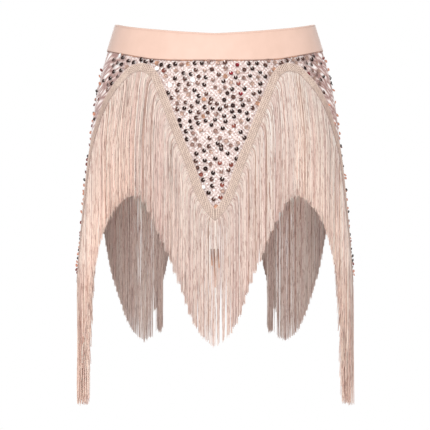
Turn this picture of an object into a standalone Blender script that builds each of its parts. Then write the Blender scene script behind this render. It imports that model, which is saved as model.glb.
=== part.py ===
"""Belly dance hip skirt: an elastic waistband, a sequinned front and back cut into
hanging points, and five lengths of header fringe sewn along the pointed hem.

Metres, +Z up. The front faces -Y and the wearer's left is +X. The origin is the
centre of the waistband, where the wearer holds the skirt up. Every piece follows
one worn surface, given by an angle round the body in degrees (0 at the front, 90
at the left side, 180 at the back) and a height.
"""

import math
from collections import namedtuple

import bmesh
import bpy
from mathutils import Vector

# The worn surface, as level sections of the cloth's outer face
Section = namedtuple("Section", "height half_width front_depth back_depth")
SECTIONS = (
    Section(0.0270, 0.1390, 0.0940, 0.1030),
    Section(-0.0090, 0.1500, 0.1020, 0.1110),
    Section(-0.0250, 0.1547, 0.1052, 0.1150),
    Section(-0.0500, 0.1615, 0.1100, 0.1208),
    Section(-0.0780, 0.1670, 0.1140, 0.1258),
    Section(-0.1200, 0.1728, 0.1182, 0.1315),
    Section(-0.1620, 0.1772, 0.1213, 0.1355),
    Section(-0.2180, 0.1818, 0.1245, 0.1392),
    Section(-0.2740, 0.1863, 0.1273, 0.1418),
    Section(-0.3350, 0.1910, 0.1298, 0.1440),
)
OVAL_POWER = 2.15

# The hips' fullest level, below which fringe hangs straight down
FALL_LEVEL = -0.135

# The waistband's edges, which dip at the front and rise at the sides
BandEdge = namedtuple("BandEdge", "angle top bottom")
BAND_EDGES = (
    BandEdge(0.0, 0.0056, -0.0312),
    BandEdge(15.0, 0.0082, -0.0309),
    BandEdge(30.0, 0.0118, -0.0287),
    BandEdge(45.0, 0.0158, -0.0228),
    BandEdge(60.0, 0.0203, -0.0170),
    BandEdge(75.0, 0.0246, -0.0124),
    BandEdge(90.0, 0.0270, -0.0096),
    BandEdge(135.0, 0.0190, -0.0180),
    BandEdge(180.0, 0.0100, -0.0270),
)

# A flank of a hanging point, from the peak beside it (share 0) to its tip (share 1),
# and how much of its drop the hem has made there
Flank = namedtuple("Flank", "share dropped")
FRONT_FLANK = (
    Flank(0.0, 0.000),
    Flank(0.1, 0.015),
    Flank(0.2, 0.060),
    Flank(0.3, 0.150),
    Flank(0.4, 0.260),
    Flank(0.5, 0.380),
    Flank(0.6, 0.510),
    Flank(0.7, 0.645),
    Flank(0.8, 0.815),
    Flank(0.9, 0.930),
    Flank(1.0, 1.000),
)
SIDE_FLANK = (
    Flank(0.0, 0.000),
    Flank(0.1, 0.008),
    Flank(0.2, 0.043),
    Flank(0.3, 0.083),
    Flank(0.4, 0.134),
    Flank(0.5, 0.203),
    Flank(0.6, 0.288),
    Flank(0.7, 0.386),
    Flank(0.75, 0.486),
    Flank(0.8, 0.621),
    Flank(0.85, 0.755),
    Flank(0.9, 0.866),
    Flank(0.95, 0.948),
    Flank(1.0, 1.000),
)
SIDE_BACK_FLANK = (
    Flank(0.0, 0.000),
    Flank(0.1, 0.040),
    Flank(0.2, 0.175),
    Flank(0.3, 0.340),
    Flank(0.4, 0.490),
    Flank(0.5, 0.610),
    Flank(0.6, 0.700),
    Flank(0.7, 0.785),
    Flank(0.8, 0.885),
    Flank(0.9, 0.960),
    Flank(1.0, 1.000),
)
BACK_OUTER_FLANK = (
    Flank(0.0, 0.000),
    Flank(0.1, 0.010),
    Flank(0.2, 0.060),
    Flank(0.3, 0.210),
    Flank(0.4, 0.400),
    Flank(0.5, 0.540),
    Flank(0.6, 0.650),
    Flank(0.7, 0.765),
    Flank(0.8, 0.870),
    Flank(0.9, 0.950),
    Flank(1.0, 1.000),
)
BACK_INNER_FLANK = (
    Flank(0.0, 0.000),
    Flank(0.1, 0.005),
    Flank(0.2, 0.020),
    Flank(0.3, 0.050),
    Flank(0.4, 0.085),
    Flank(0.5, 0.130),
    Flank(0.6, 0.205),
    Flank(0.65, 0.285),
    Flank(0.7, 0.430),
    Flank(0.75, 0.645),
    Flank(0.8, 0.840),
    Flank(0.85, 0.925),
    Flank(0.9, 0.965),
    Flank(1.0, 1.000),
)

# The hem's height at every peak, just below the waistband
PEAK_HEIGHT = -0.045

# The five hanging points, named for the wearer's sides. Each runs from one peak over
# its tip to the next peak. Its flanks are followed by how many locks hang on each, how
# many rows of faces its header has, how long its fringe is, and how deep the bundle is
# that its lowest locks hang in.
Point = namedtuple(
    "Point",
    "name peak tip next_peak tip_height flank next_flank locks next_locks rows drop bundle",
)
POINTS = (
    Point(
        "front_fringe", -37.0, 0.0, 37.0, -0.247,
        FRONT_FLANK, FRONT_FLANK, 23, 23, 2, 0.168, 0.0,
    ),
    Point(
        "left_side_fringe", 37.0, 88.0, 110.0, -0.335,
        SIDE_FLANK, SIDE_BACK_FLANK, 27, 12, 5, 0.165, 0.015,
    ),
    Point(
        "left_back_fringe", 110.0, 147.0, 180.0, -0.2134,
        BACK_OUTER_FLANK, BACK_INNER_FLANK, 18, 17, 3, 0.210, 0.0,
    ),
    Point(
        "right_back_fringe", 180.0, 213.0, 250.0, -0.2134,
        BACK_INNER_FLANK, BACK_OUTER_FLANK, 17, 18, 3, 0.210, 0.0,
    ),
    Point(
        "right_side_fringe", 250.0, 272.0, 323.0, -0.335,
        SIDE_BACK_FLANK, SIDE_FLANK, 12, 27, 5, 0.165, 0.015,
    ),
)

# Walls, as distances out from the cloth's outer face, and the gap at a seam
BAND_OUTER = 0.0004
BAND_INNER = -0.0016
CLOTH_OUTER = 0.0
CLOTH_INNER = -0.0012
HEADER_INNER = 0.0004
HEADER_OUTER = 0.0020
SEAM_GAP = 0.0003

# The side seams, and how finely the band and cloth are sampled round and down
SIDE_SEAM = 88.0
PANEL_COLUMNS = 48
CLOTH_ROWS = 6
BAND_ROWS = 2

# The fringe and its header. A lock narrows and thins towards its end, and leaves a
# steep hem squarely, so it hangs a little towards its peak. Below the level where a
# bundle starts, its locks deepen towards the wearer, to their full depth lower down.
HEADER_WIDTH = 0.013
OFFSET_SAMPLES = 16
BUNDLE_START = -0.32
BUNDLE_FULL = -0.48
DROP_VARIATION = 0.003
DROP_VARIATION_RATE = 2.4
LOCK_ROWS = 2
LOCK_GAP_SHARE = 0.14
LOCK_END_NARROWING = 0.10
LOCK_END_OUTER = 0.0016
LOCK_LEAN = 0.005
LEAN_RAMP = 0.015

FULL_TURN = 360.0
SHARP_ANGLE = 40.0


def spread(start, end, parts):
    return [start + (end - start) * i / parts for i in range(parts + 1)]


def smooth_slopes(xs, ys):
    """Slopes at the points of a table that keep its curve from overshooting."""
    steps = [(y1 - y0) / (x1 - x0) for x0, x1, y0, y1 in zip(xs, xs[1:], ys, ys[1:])]
    slopes = [steps[0]]
    for before, after in zip(steps, steps[1:]):
        same_way = before * after > 0
        slopes.append(2 * before * after / (before + after) if same_way else 0.0)
    slopes.append(steps[-1])
    return slopes


def read_table(rows, column, at):
    """The smooth curve through a named column, at a value of the first column."""
    points = sorted((row[0], getattr(row, column)) for row in rows)
    xs = [x for x, _ in points]
    ys = [y for _, y in points]
    at = min(max(at, xs[0]), xs[-1])
    i = max(k for k in range(len(xs) - 1) if xs[k] <= at)
    slopes = smooth_slopes(xs, ys)
    width = xs[i + 1] - xs[i]
    u = (at - xs[i]) / width
    rise = u * u * (3 - 2 * u)
    lead_in = u * (1 - u) ** 2 * width * slopes[i]
    lead_out = u * u * (1 - u) * width * slopes[i + 1]
    return ys[i] + (ys[i + 1] - ys[i]) * rise + lead_in - lead_out


# The worn surface
def signed_power(value, power):
    return math.copysign(abs(value) ** power, value)


def skin_point(angle, height, offset, level=-math.inf):
    """A point at an angle and height, moved out from the cloth's outer face.

    Below the level, the surface is an upright wall.
    """
    plan_height = max(height, level)
    turn = math.radians(angle)
    half_width = read_table(SECTIONS, "half_width", plan_height)
    side = "front_depth" if math.cos(turn) > 0 else "back_depth"
    depth = read_table(SECTIONS, side, plan_height)
    x_share = signed_power(math.sin(turn), 2 / OVAL_POWER)
    y_share = -signed_power(math.cos(turn), 2 / OVAL_POWER)
    x_normal = signed_power(x_share, OVAL_POWER - 1) / half_width
    y_normal = signed_power(y_share, OVAL_POWER - 1) / depth
    normal = Vector((x_normal, y_normal, 0.0)).normalized()
    return Vector((half_width * x_share, depth * y_share, height)) + normal * offset


def degrees_of(length, angle):
    """The angle that a level length takes up at the hips, at its rate at one angle."""
    before = skin_point(angle - 0.5, FALL_LEVEL, 0)
    after = skin_point(angle + 0.5, FALL_LEVEL, 0)
    return length / (after - before).length


def band_edge(edge, angle):
    """The height of a band edge, which is alike on both sides."""
    around = angle % FULL_TURN
    return read_table(BAND_EDGES, edge, min(around, FULL_TURN - around))


def point_at(angle):
    """The hanging point that an angle lies in, and the angle in its own turn."""
    for point in POINTS:
        for turned in (angle, angle + FULL_TURN):
            if point.peak <= turned <= point.next_peak:
                return point, turned


def hem_height(point, angle):
    """The height of the header's lower edge on one hanging point."""
    if angle <= point.tip:
        start, flank = point.peak, point.flank
    else:
        start, flank = point.next_peak, point.next_flank
    dropped = read_table(flank, "dropped", (angle - start) / (point.tip - start))
    return PEAK_HEIGHT + (point.tip_height - PEAK_HEIGHT) * dropped


def height_above_hem(point, angle, distance):
    """The height, at one angle, of a line that runs a set distance inside the hem."""
    highest = -math.inf
    reach = degrees_of(distance, angle)
    for share in spread(-1.0, 1.0, OFFSET_SAMPLES):
        nearby = angle + share * reach
        if point.peak <= nearby <= point.next_peak:
            rise = distance * math.sqrt(1 - share * share)
            highest = max(highest, hem_height(point, nearby) + rise)
    return highest


# Mesh building
def add_wall(bm, columns, inner, outer, closed):
    """Adds a wall, open along its lower edge, from (angle, heights) columns.

    It returns the inner and the outer vertices, by column and then by height.
    """
    grids = []
    for offset in (inner, outer):
        grids.append([[bm.verts.new(skin_point(a, z, offset)) for z in heights] for a, heights in columns])
    inside, outside = grids
    count = len(columns)
    rows = len(columns[0][1]) - 1
    for i in range(count if closed else count - 1):
        j = (i + 1) % count
        for r in range(rows):
            bm.faces.new((outside[i][r], outside[i][r + 1], outside[j][r + 1], outside[j][r]))
            bm.faces.new((inside[i][r], inside[j][r], inside[j][r + 1], inside[i][r + 1]))
        bm.faces.new((inside[i][0], outside[i][0], outside[j][0], inside[j][0]))
    for i in () if closed else (0, count - 1):
        for r in range(rows):
            bm.faces.new((outside[i][r], outside[i][r + 1], inside[i][r + 1], inside[i][r]))
    return inside, outside


def close_bottom(bm, inside, outside, pairs):
    """Closes the lower edge of a wall between the pairs of columns."""
    for i, j in pairs:
        bm.faces.new((inside[i][-1], inside[j][-1], outside[j][-1], outside[i][-1]))


def make_object(name, bm, material):
    bmesh.ops.recalc_face_normals(bm, faces=bm.faces)
    mesh = bpy.data.meshes.new(name)
    bm.to_mesh(mesh)
    bm.free()
    mesh.shade_smooth()
    mesh.set_sharp_from_angle(angle=math.radians(SHARP_ANGLE))
    mesh.materials.append(material)
    bpy.context.collection.objects.link(bpy.data.objects.new(name, mesh))


# Materials
def make_material(name, colour, roughness, metallic=0.0):
    material = bpy.data.materials.new(name)
    material.use_nodes = True
    shader = material.node_tree.nodes["Principled BSDF"]
    shader.inputs["Base Color"].default_value = (*colour, 1.0)
    shader.inputs["Roughness"].default_value = roughness
    shader.inputs["Metallic"].default_value = metallic
    return material


def peach_elastic():
    return make_material("peach_satin_elastic", (0.93, 0.63, 0.48), 0.45)


def sequinned_cloth():
    return make_material("pale_pink_sequinned_cloth", (0.62, 0.44, 0.39), 0.40, 0.2)


def rayon_fringe():
    return make_material("dusty_pink_rayon_fringe", (0.66, 0.48, 0.41), 0.55)


# The waistband, one loop of wide elastic
def make_waistband(angles, material):
    columns = []
    for angle in angles:
        columns.append((angle, spread(band_edge("top", angle), band_edge("bottom", angle), BAND_ROWS)))
    bm = bmesh.new()
    inside, outside = add_wall(bm, columns, BAND_INNER, BAND_OUTER, closed=True)
    close_bottom(bm, inside, outside, [(i, (i + 1) % len(angles)) for i in range(len(angles))])
    make_object("waistband", bm, material)


# The cloth panels, which hang from the band and end halfway under the header
def make_panel(name, angles, material):
    seam = degrees_of(SEAM_GAP / 2, SIDE_SEAM)
    angles = [angles[0] + seam] + angles[1:-1] + [angles[-1] - seam]
    columns = []
    for angle in angles:
        point, turned = point_at(angle)
        hem = height_above_hem(point, turned, HEADER_WIDTH / 2)
        columns.append((angle, spread(band_edge("bottom", angle) - SEAM_GAP, hem, CLOTH_ROWS)))
    bm = bmesh.new()
    inside, outside = add_wall(bm, columns, CLOTH_INNER, CLOTH_OUTER, closed=False)
    close_bottom(bm, inside, outside, [(i, i + 1) for i in range(len(angles) - 1)])
    make_object(name, bm, material)


# The fringe: a header strip on the hem, with locks hanging from its lower edge
def lock_spans(start, end, count):
    """The angles between which each lock of one flank is rooted."""
    edges = spread(start, end, count)
    half_gap = (end - start) / count * LOCK_GAP_SHARE / 2
    return [(a + half_gap, b - half_gap) for a, b in zip(edges, edges[1:])]


def lock_lean(point, angle):
    """How far round a lock hangs from its root: not at all at a peak or a tip."""
    peak = point.peak if angle <= point.tip else point.next_peak
    nearest_end = min(abs(angle - peak), abs(angle - point.tip))
    share = min(1.0, nearest_end / degrees_of(LEAN_RAMP, angle))
    return math.copysign(degrees_of(LOCK_LEAN, angle) * share, peak - point.tip)


def lock_ring(bm, point, span, drop, share):
    """The four vertices round a lock, at a share of its length."""
    narrowing = (span[1] - span[0]) * LOCK_END_NARROWING * share
    outer = HEADER_OUTER + (LOCK_END_OUTER - HEADER_OUTER) * share
    corners = []
    for angle, inward in zip(span, (narrowing, -narrowing)):
        root = hem_height(point, angle)
        height = root - drop * share
        bundled = min(max((height - BUNDLE_START) / (BUNDLE_FULL - BUNDLE_START), 0.0), 1.0)
        inner = HEADER_INNER - point.bundle * bundled
        hanging = angle + lock_lean(point, angle) + inward
        for offset in (inner, outer):
            corner = skin_point(hanging, height, offset, min(FALL_LEVEL, root))
            corners.append(bm.verts.new(corner))
    return corners[0], corners[1], corners[3], corners[2]


def add_lock(bm, point, span, number, root_ring):
    """Adds one lock below the four root vertices of its column in the header."""
    drop = point.drop + DROP_VARIATION * math.sin(DROP_VARIATION_RATE * number)
    above = root_ring
    for row in range(LOCK_ROWS):
        below = lock_ring(bm, point, span, drop, (row + 1) / LOCK_ROWS)
        for i in range(4):
            j = (i + 1) % 4
            bm.faces.new((above[i], above[j], below[j], below[i]))
        above = below
    bm.faces.new(above)


def make_fringe(point, material):
    spans = lock_spans(point.peak, point.tip, point.locks)
    spans += lock_spans(point.tip, point.next_peak, point.next_locks)
    number_from = {span[0]: number for number, span in enumerate(spans)}
    seam = degrees_of(SEAM_GAP / 2, point.peak)
    angles = [angle for span in spans for angle in span]
    angles = sorted(angles + [point.peak + seam, point.tip, point.next_peak - seam])
    columns = []
    for angle in angles:
        upper = height_above_hem(point, angle, HEADER_WIDTH)
        columns.append((angle, spread(upper, hem_height(point, angle), point.rows)))
    bm = bmesh.new()
    inside, outside = add_wall(bm, columns, HEADER_INNER, HEADER_OUTER, closed=False)
    for i, angle in enumerate(angles[:-1]):
        if angle in number_from:
            number = number_from[angle]
            ring = (inside[i][-1], outside[i][-1], outside[i + 1][-1], inside[i + 1][-1])
            add_lock(bm, point, spans[number], number, ring)
        else:
            close_bottom(bm, inside, outside, [(i, i + 1)])
    make_object(point.name, bm, material)


def main():
    for obj in list(bpy.data.objects):
        bpy.data.objects.remove(obj, do_unlink=True)
    front = spread(-SIDE_SEAM, SIDE_SEAM, PANEL_COLUMNS)
    back = spread(SIDE_SEAM, FULL_TURN - SIDE_SEAM, PANEL_COLUMNS)
    cloth = sequinned_cloth()
    fringe = rayon_fringe()
    make_waistband(front + back[1:-1], peach_elastic())
    make_panel("front_panel", front, cloth)
    make_panel("back_panel", back, cloth)
    for point in POINTS:
        make_fringe(point, fringe)


main()
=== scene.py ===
# %% [markdown]
# # A belly dance hip skirt
#
# A real hip skirt like this one is cut from stretch knit that is already covered in cup
# sequins. Wide elastic holds it at the hips, and ready-made header fringe is sewn along a
# pointed hem. This lesson dresses the plain solids of such a skirt with fine geometry and
# procedural materials: elastic, knit, sequins, braid and several thousand strands.

# %% Frame
import math
from collections import namedtuple

import bpy
import numpy as np
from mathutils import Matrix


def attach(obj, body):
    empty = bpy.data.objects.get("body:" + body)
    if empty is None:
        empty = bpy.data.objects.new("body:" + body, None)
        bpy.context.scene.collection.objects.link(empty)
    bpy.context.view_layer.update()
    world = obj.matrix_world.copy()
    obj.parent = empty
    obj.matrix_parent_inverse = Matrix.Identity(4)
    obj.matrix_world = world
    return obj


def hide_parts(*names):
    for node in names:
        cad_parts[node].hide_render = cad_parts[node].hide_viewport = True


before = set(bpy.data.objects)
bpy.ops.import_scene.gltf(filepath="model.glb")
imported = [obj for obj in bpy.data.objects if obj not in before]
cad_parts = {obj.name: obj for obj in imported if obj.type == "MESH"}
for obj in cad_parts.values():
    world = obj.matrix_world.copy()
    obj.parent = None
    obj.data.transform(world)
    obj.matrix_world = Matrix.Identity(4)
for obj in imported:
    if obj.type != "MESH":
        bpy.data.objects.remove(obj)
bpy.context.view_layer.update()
print("Nodes in the frame:", ", ".join(sorted(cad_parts)))

# %% [markdown]
# ## Camera
#
# The photograph was taken level with the middle of the skirt from well back, so a long lens
# is used. The camera comes first, because everything else is judged through it.

# %% Camera
CAMERA_DISTANCE = 2.5
CAMERA_HEIGHT = -0.239
LENS_MM = 149.5
SENSOR_MM = 36.0

camera_data = bpy.data.cameras.new("camera")
camera_data.lens = LENS_MM
camera_data.sensor_width = SENSOR_MM
camera = bpy.data.objects.new("camera", camera_data)
camera.location = (0.0, -CAMERA_DISTANCE, CAMERA_HEIGHT)
camera.rotation_euler = (math.radians(90.0), 0.0, 0.0)
bpy.context.collection.objects.link(camera)
bpy.context.scene.camera = camera

# %% [markdown]
# ## The worn surface
#
# Cloth on a body follows one smooth surface, so every piece is placed by an angle round the
# body (0 at the front, 90 at the wearer's left), a height, and a distance out from the
# cloth. Each level section is a slightly squared oval. The tables are the ones that the
# solids were built from, read with a curve that never overshoots its points.

# %% Smooth tables
def smooth_curve(xs, ys):
    """A curve through the points of a table, which never overshoots them."""
    order = np.argsort(xs)
    xs = np.array(xs, float)[order]
    ys = np.array(ys, float)[order]
    steps = np.diff(ys) / np.diff(xs)
    product = steps[:-1] * steps[1:]
    total = np.where(product > 0, steps[:-1] + steps[1:], 1.0)
    middle = np.where(product > 0, 2 * product / total, 0.0)
    slopes = np.concatenate((steps[:1], middle, steps[-1:]))

    def curve(at):
        at = np.clip(at, xs[0], xs[-1])
        i = np.clip(np.searchsorted(xs, at, side="right") - 1, 0, len(xs) - 2)
        width = xs[i + 1] - xs[i]
        u = (at - xs[i]) / width
        rise = u * u * (3 - 2 * u)
        lead_in = u * (1 - u) ** 2 * width * slopes[i]
        lead_out = u * u * (1 - u) * width * slopes[i + 1]
        return ys[i] + (ys[i + 1] - ys[i]) * rise + lead_in - lead_out

    return curve


# %% Level sections of the body
# Height, half width, depth to the front and depth to the back
SECTIONS = (
    (0.0270, 0.1390, 0.0940, 0.1030),
    (-0.0090, 0.1500, 0.1020, 0.1110),
    (-0.0250, 0.1547, 0.1052, 0.1150),
    (-0.0500, 0.1615, 0.1100, 0.1208),
    (-0.0780, 0.1670, 0.1140, 0.1258),
    (-0.1200, 0.1728, 0.1182, 0.1315),
    (-0.1620, 0.1772, 0.1213, 0.1355),
    (-0.2180, 0.1818, 0.1245, 0.1392),
    (-0.2740, 0.1863, 0.1273, 0.1418),
    (-0.3350, 0.1910, 0.1298, 0.1440),
)
OVAL_POWER = 2.15
FALL_LEVEL = -0.135
NO_LEVEL = -9.0

levels, half_widths, front_depths, back_depths = zip(*SECTIONS)
half_width_at = smooth_curve(levels, half_widths)
front_depth_at = smooth_curve(levels, front_depths)
back_depth_at = smooth_curve(levels, back_depths)


def signed_power(value, power):
    return np.copysign(np.abs(value) ** power, value)


def skin(angle, height, offset=0.0, level=NO_LEVEL):
    """Points at angles and heights, moved out. Below the level the surface is upright."""
    angle, height, offset, level = np.broadcast_arrays(angle, height, offset, level)
    plan = np.maximum(height, level)
    turn = np.radians(angle)
    wide = half_width_at(plan)
    deep = np.where(np.cos(turn) > 0, front_depth_at(plan), back_depth_at(plan))
    x = signed_power(np.sin(turn), 2 / OVAL_POWER)
    y = -signed_power(np.cos(turn), 2 / OVAL_POWER)
    x_normal = signed_power(x, OVAL_POWER - 1) / wide
    y_normal = signed_power(y, OVAL_POWER - 1) / deep
    length = np.hypot(x_normal, y_normal)
    x_out = wide * x + x_normal / length * offset
    y_out = deep * y + y_normal / length * offset
    return np.stack((x_out, y_out, height), axis=-1)


# %% Arc lengths round the hips, to lay trims out in real millimetres
ARC_ANGLES = np.linspace(-90.0, 450.0, 5401)
arc_points = skin(ARC_ANGLES, FALL_LEVEL)
arc_steps = np.linalg.norm(np.diff(arc_points, axis=0), axis=1)
ARC_LENGTHS = np.concatenate(([0.0], np.cumsum(arc_steps)))
ARC_LENGTHS -= np.interp(0.0, ARC_ANGLES, ARC_LENGTHS)


def arc_of(angle):
    return np.interp(angle, ARC_ANGLES, ARC_LENGTHS)


def angle_of(arc):
    return np.interp(arc, ARC_LENGTHS, ARC_ANGLES)


print("Round the hips: %.3f m" % (arc_of(360.0) - arc_of(0.0)))

# %% [markdown]
# ## The cut
#
# The waistband dips a little at the front. Below it, the hem runs in five points, with a
# peak between each two. A flank of a point is a table of how far down the hem has come on
# its way from the peak to the tip.

# %% Waistband edges and hanging points
BAND_ANGLES = (0.0, 15.0, 30.0, 45.0, 60.0, 75.0, 90.0, 135.0, 180.0)
BAND_TOPS = (0.0056, 0.0082, 0.0118, 0.0158, 0.0203, 0.0246, 0.0270, 0.0190, 0.0100)
BAND_BOTTOMS = (-0.0312, -0.0309, -0.0287, -0.0228, -0.0170, -0.0124, -0.0096, -0.0180, -0.0270)
band_top_curve = smooth_curve(BAND_ANGLES, BAND_TOPS)
band_bottom_curve = smooth_curve(BAND_ANGLES, BAND_BOTTOMS)


def band_edge(curve, angle):
    around = np.mod(angle, 360.0)
    return curve(np.minimum(around, 360.0 - around))


EVEN_SHARES = (0.0, 0.1, 0.2, 0.3, 0.4, 0.5, 0.6, 0.7, 0.8, 0.9, 1.0)
SIDE_SHARES = (0.0, 0.1, 0.2, 0.3, 0.4, 0.5, 0.6, 0.7, 0.75, 0.8, 0.85, 0.9, 0.95, 1.0)
INNER_SHARES = (0.0, 0.1, 0.2, 0.3, 0.4, 0.5, 0.6, 0.65, 0.7, 0.75, 0.8, 0.85, 0.9, 1.0)
FRONT_DROPS = (0.0, 0.015, 0.060, 0.150, 0.260, 0.380, 0.510, 0.645, 0.815, 0.930, 1.0)
SIDE_DROPS = (
    0.0, 0.008, 0.043, 0.083, 0.134, 0.203, 0.288, 0.386, 0.486, 0.621, 0.755, 0.866, 0.948, 1.0
)
SIDE_BACK_DROPS = (0.0, 0.040, 0.175, 0.340, 0.490, 0.610, 0.700, 0.785, 0.885, 0.960, 1.0)
OUTER_DROPS = (0.0, 0.010, 0.060, 0.210, 0.400, 0.540, 0.650, 0.765, 0.870, 0.950, 1.0)
INNER_DROPS = (
    0.0, 0.005, 0.020, 0.050, 0.085, 0.130, 0.205, 0.285, 0.430, 0.645, 0.840, 0.925, 0.965, 1.0
)
front_flank = smooth_curve(EVEN_SHARES, FRONT_DROPS)
side_flank = smooth_curve(SIDE_SHARES, SIDE_DROPS)
side_back_flank = smooth_curve(EVEN_SHARES, SIDE_BACK_DROPS)
outer_flank = smooth_curve(EVEN_SHARES, OUTER_DROPS)
inner_flank = smooth_curve(INNER_SHARES, INNER_DROPS)

PEAK_HEIGHT = -0.045
FIRST_PEAK = -37.0
LAST_PEAK = FIRST_PEAK + 360.0
BACK_PEAK = 180.0
# A point has two flanks: from its peak to its tip, and from there to the next peak
Point = namedtuple("Point", "name peak tip next_peak tip_height flank next_flank")
POINTS = (
    Point("front_fringe", FIRST_PEAK, 0.0, 37.0, -0.247, front_flank, front_flank),
    Point("left_side_fringe", 37.0, 88.0, 110.0, -0.335, side_flank, side_back_flank),
    Point("left_back_fringe", 110.0, 147.0, BACK_PEAK, -0.2134, outer_flank, inner_flank),
    Point("right_back_fringe", BACK_PEAK, 213.0, 250.0, -0.2134, inner_flank, outer_flank),
    Point("right_side_fringe", 250.0, 272.0, LAST_PEAK, -0.335, side_back_flank, side_flank),
)

# %% The hem's height at any angle, and lines parallel to it
HEM_ANGLES = np.linspace(FIRST_PEAK, LAST_PEAK, 7201)
hem_heights = np.empty_like(HEM_ANGLES)
for point in POINTS:
    for start, curve in ((point.peak, point.flank), (point.next_peak, point.next_flank)):
        low, high = sorted((start, point.tip))
        here = (HEM_ANGLES >= low) & (HEM_ANGLES <= high)
        share = (HEM_ANGLES[here] - start) / (point.tip - start)
        hem_heights[here] = PEAK_HEIGHT + (point.tip_height - PEAK_HEIGHT) * curve(share)


def hem_at(angle):
    return np.interp(np.mod(angle - FIRST_PEAK, 360.0) + FIRST_PEAK, HEM_ANGLES, hem_heights)


def inside_hem(angle, distance):
    """The height of the line that runs a set distance inside the hem."""
    arc = arc_of(angle)
    highest = np.full(np.shape(angle), NO_LEVEL)
    for share in np.linspace(-1.0, 1.0, 41):
        nearby = angle_of(arc + share * distance)
        rise = distance * math.sqrt(1 - share * share)
        highest = np.maximum(highest, hem_at(nearby) + rise)
    return highest


# %% [markdown]
# ## Mesh helpers
#
# Thousands of strands and cords are too many to make one by one, so each piece is worked
# out as arrays of points and turned into a mesh once. Every piece but the sequins carries a
# UV map in metres, which holds its weave at the right scale. Trims carry their own colours.

# %% Making pieces
def make_piece(name, points, faces, material, nodes=(), uv=None, tint=None, smooth=True):
    """One mesh piece on the root body, with the frame nodes that it replaces."""
    mesh = bpy.data.meshes.new(name)
    mesh.from_pydata(points.reshape(-1, 3).tolist(), [], faces.tolist())
    corner = np.empty(len(mesh.loops), np.int32)
    mesh.loops.foreach_get("vertex_index", corner)
    if uv is not None:
        layer = mesh.uv_layers.new(name="metres")
        layer.data.foreach_set("uv", uv.reshape(-1, 2)[corner].ravel())
    if tint is not None:
        layer = mesh.color_attributes.new("tint", "FLOAT_COLOR", "CORNER")
        colour = np.concatenate((tint.reshape(-1, 3), np.ones((tint.size // 3, 1))), axis=1)
        layer.data.foreach_set("color", colour[corner].ravel())
    mesh.polygons.foreach_set("use_smooth", [smooth] * len(mesh.polygons))
    mesh.materials.append(material)
    mesh.update()
    piece = bpy.data.objects.new(name, mesh)
    bpy.context.collection.objects.link(piece)
    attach(piece, "root")
    if nodes:
        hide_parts(*nodes)
    triangles = sum(len(face) - 2 for face in faces)
    print("%s: %d triangles" % (name, triangles))
    return piece


def grid_faces(rows, columns, wrap_rows=False, wrap_columns=False):
    """Quads between the neighbours of a rows by columns grid of points."""
    i = np.arange(rows if wrap_rows else rows - 1)
    j = np.arange(columns if wrap_columns else columns - 1)
    i, j = np.meshgrid(i, j, indexing="ij")
    i_next = (i + 1) % rows
    j_next = (j + 1) % columns
    corners = (i * columns + j, i_next * columns + j, i_next * columns + j_next, i * columns + j_next)
    return np.stack([corner.ravel() for corner in corners], axis=1)


def ease(value):
    """Rises smoothly from 0 to 1 as the value does, and stays level outside that."""
    value = np.clip(value, 0.0, 1.0)
    return value * value * (3 - 2 * value)


def unit(vectors):
    length = np.linalg.norm(vectors, axis=-1, keepdims=True)
    return vectors / np.maximum(length, 1e-12)


def tubes(paths, radii, sides):
    """Points and faces of tubes along paths of (count, steps, 3) points."""
    count, steps, _ = paths.shape
    along = unit(np.gradient(paths, axis=1))
    across = unit(np.cross(along, unit(paths * (1.0, 1.0, 0.0))))
    out = np.cross(across, along)
    turn = np.arange(sides) * 2 * math.pi / sides
    ring = across[:, :, None] * np.cos(turn)[:, None] + out[:, :, None] * np.sin(turn)[:, None]
    points = paths[:, :, None] + ring * radii[..., None, None]
    one = grid_faces(steps, sides, wrap_columns=True)
    starts = np.arange(count) * steps * sides
    faces = (one[None] + starts[:, None, None]).reshape(-1, 4)
    return points.reshape(-1, 3), faces


def join_parts(parts):
    """Joins parts of points, faces, UVs and tints into the arrays of one piece."""
    total = 0
    moved = []
    for points, faces, uv, tint in parts:
        moved.append((points, faces + total, uv, tint))
        total += len(points)
    return [np.concatenate(arrays) for arrays in zip(*moved)]


# %% [markdown]
# ## Materials
#
# Small helpers wire the node trees. Values that are the same all over a surface are set on
# the shader itself, and nodes are kept for what changes from place to place. Elastic and knit
# have painted shade, a little darker where they turn away from the eye.

# %% Node helpers
def new_material(name, roughness, metallic=0.0, sheen=0.0, specular=0.5):
    material = bpy.data.materials.new(name)
    material.use_nodes = True
    shader = material.node_tree.nodes["Principled BSDF"]
    sockets = ("Roughness", "Metallic", "Sheen Weight", "Specular IOR Level")
    for socket, value in zip(sockets, (roughness, metallic, sheen, specular)):
        shader.inputs[socket].default_value = value
    return material, material.node_tree, shader


def node(tree, kind, **inputs):
    made = tree.nodes.new("ShaderNode" + kind)
    for socket, value in inputs.items():
        wire(tree, value, made.inputs[socket.replace("_", " ")])
    return made


def wire(tree, value, socket):
    if isinstance(value, bpy.types.NodeSocket):
        tree.links.new(value, socket)
    else:
        socket.default_value = value


def math_node(tree, operation, first, second=0.0):
    made = tree.nodes.new("ShaderNodeMath")
    made.operation = operation
    wire(tree, first, made.inputs[0])
    wire(tree, second, made.inputs[1])
    return made.outputs[0]


def scaled(tree, value, rate):
    return math_node(tree, "MULTIPLY", value, rate)


def wave(tree, value, pitch):
    return math_node(tree, "SINE", scaled(tree, value, 2 * math.pi / pitch))


def ramp(tree, value, *stops):
    made = tree.nodes.new("ShaderNodeValToRGB")
    tree.links.new(value, made.inputs["Fac"])
    elements = made.color_ramp.elements
    while len(elements) < len(stops):
        elements.new(0.5)
    for element, (position, colour) in zip(elements, stops):
        element.position = position
        element.color = (*colour, 1.0)
    return made.outputs["Color"]


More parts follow.
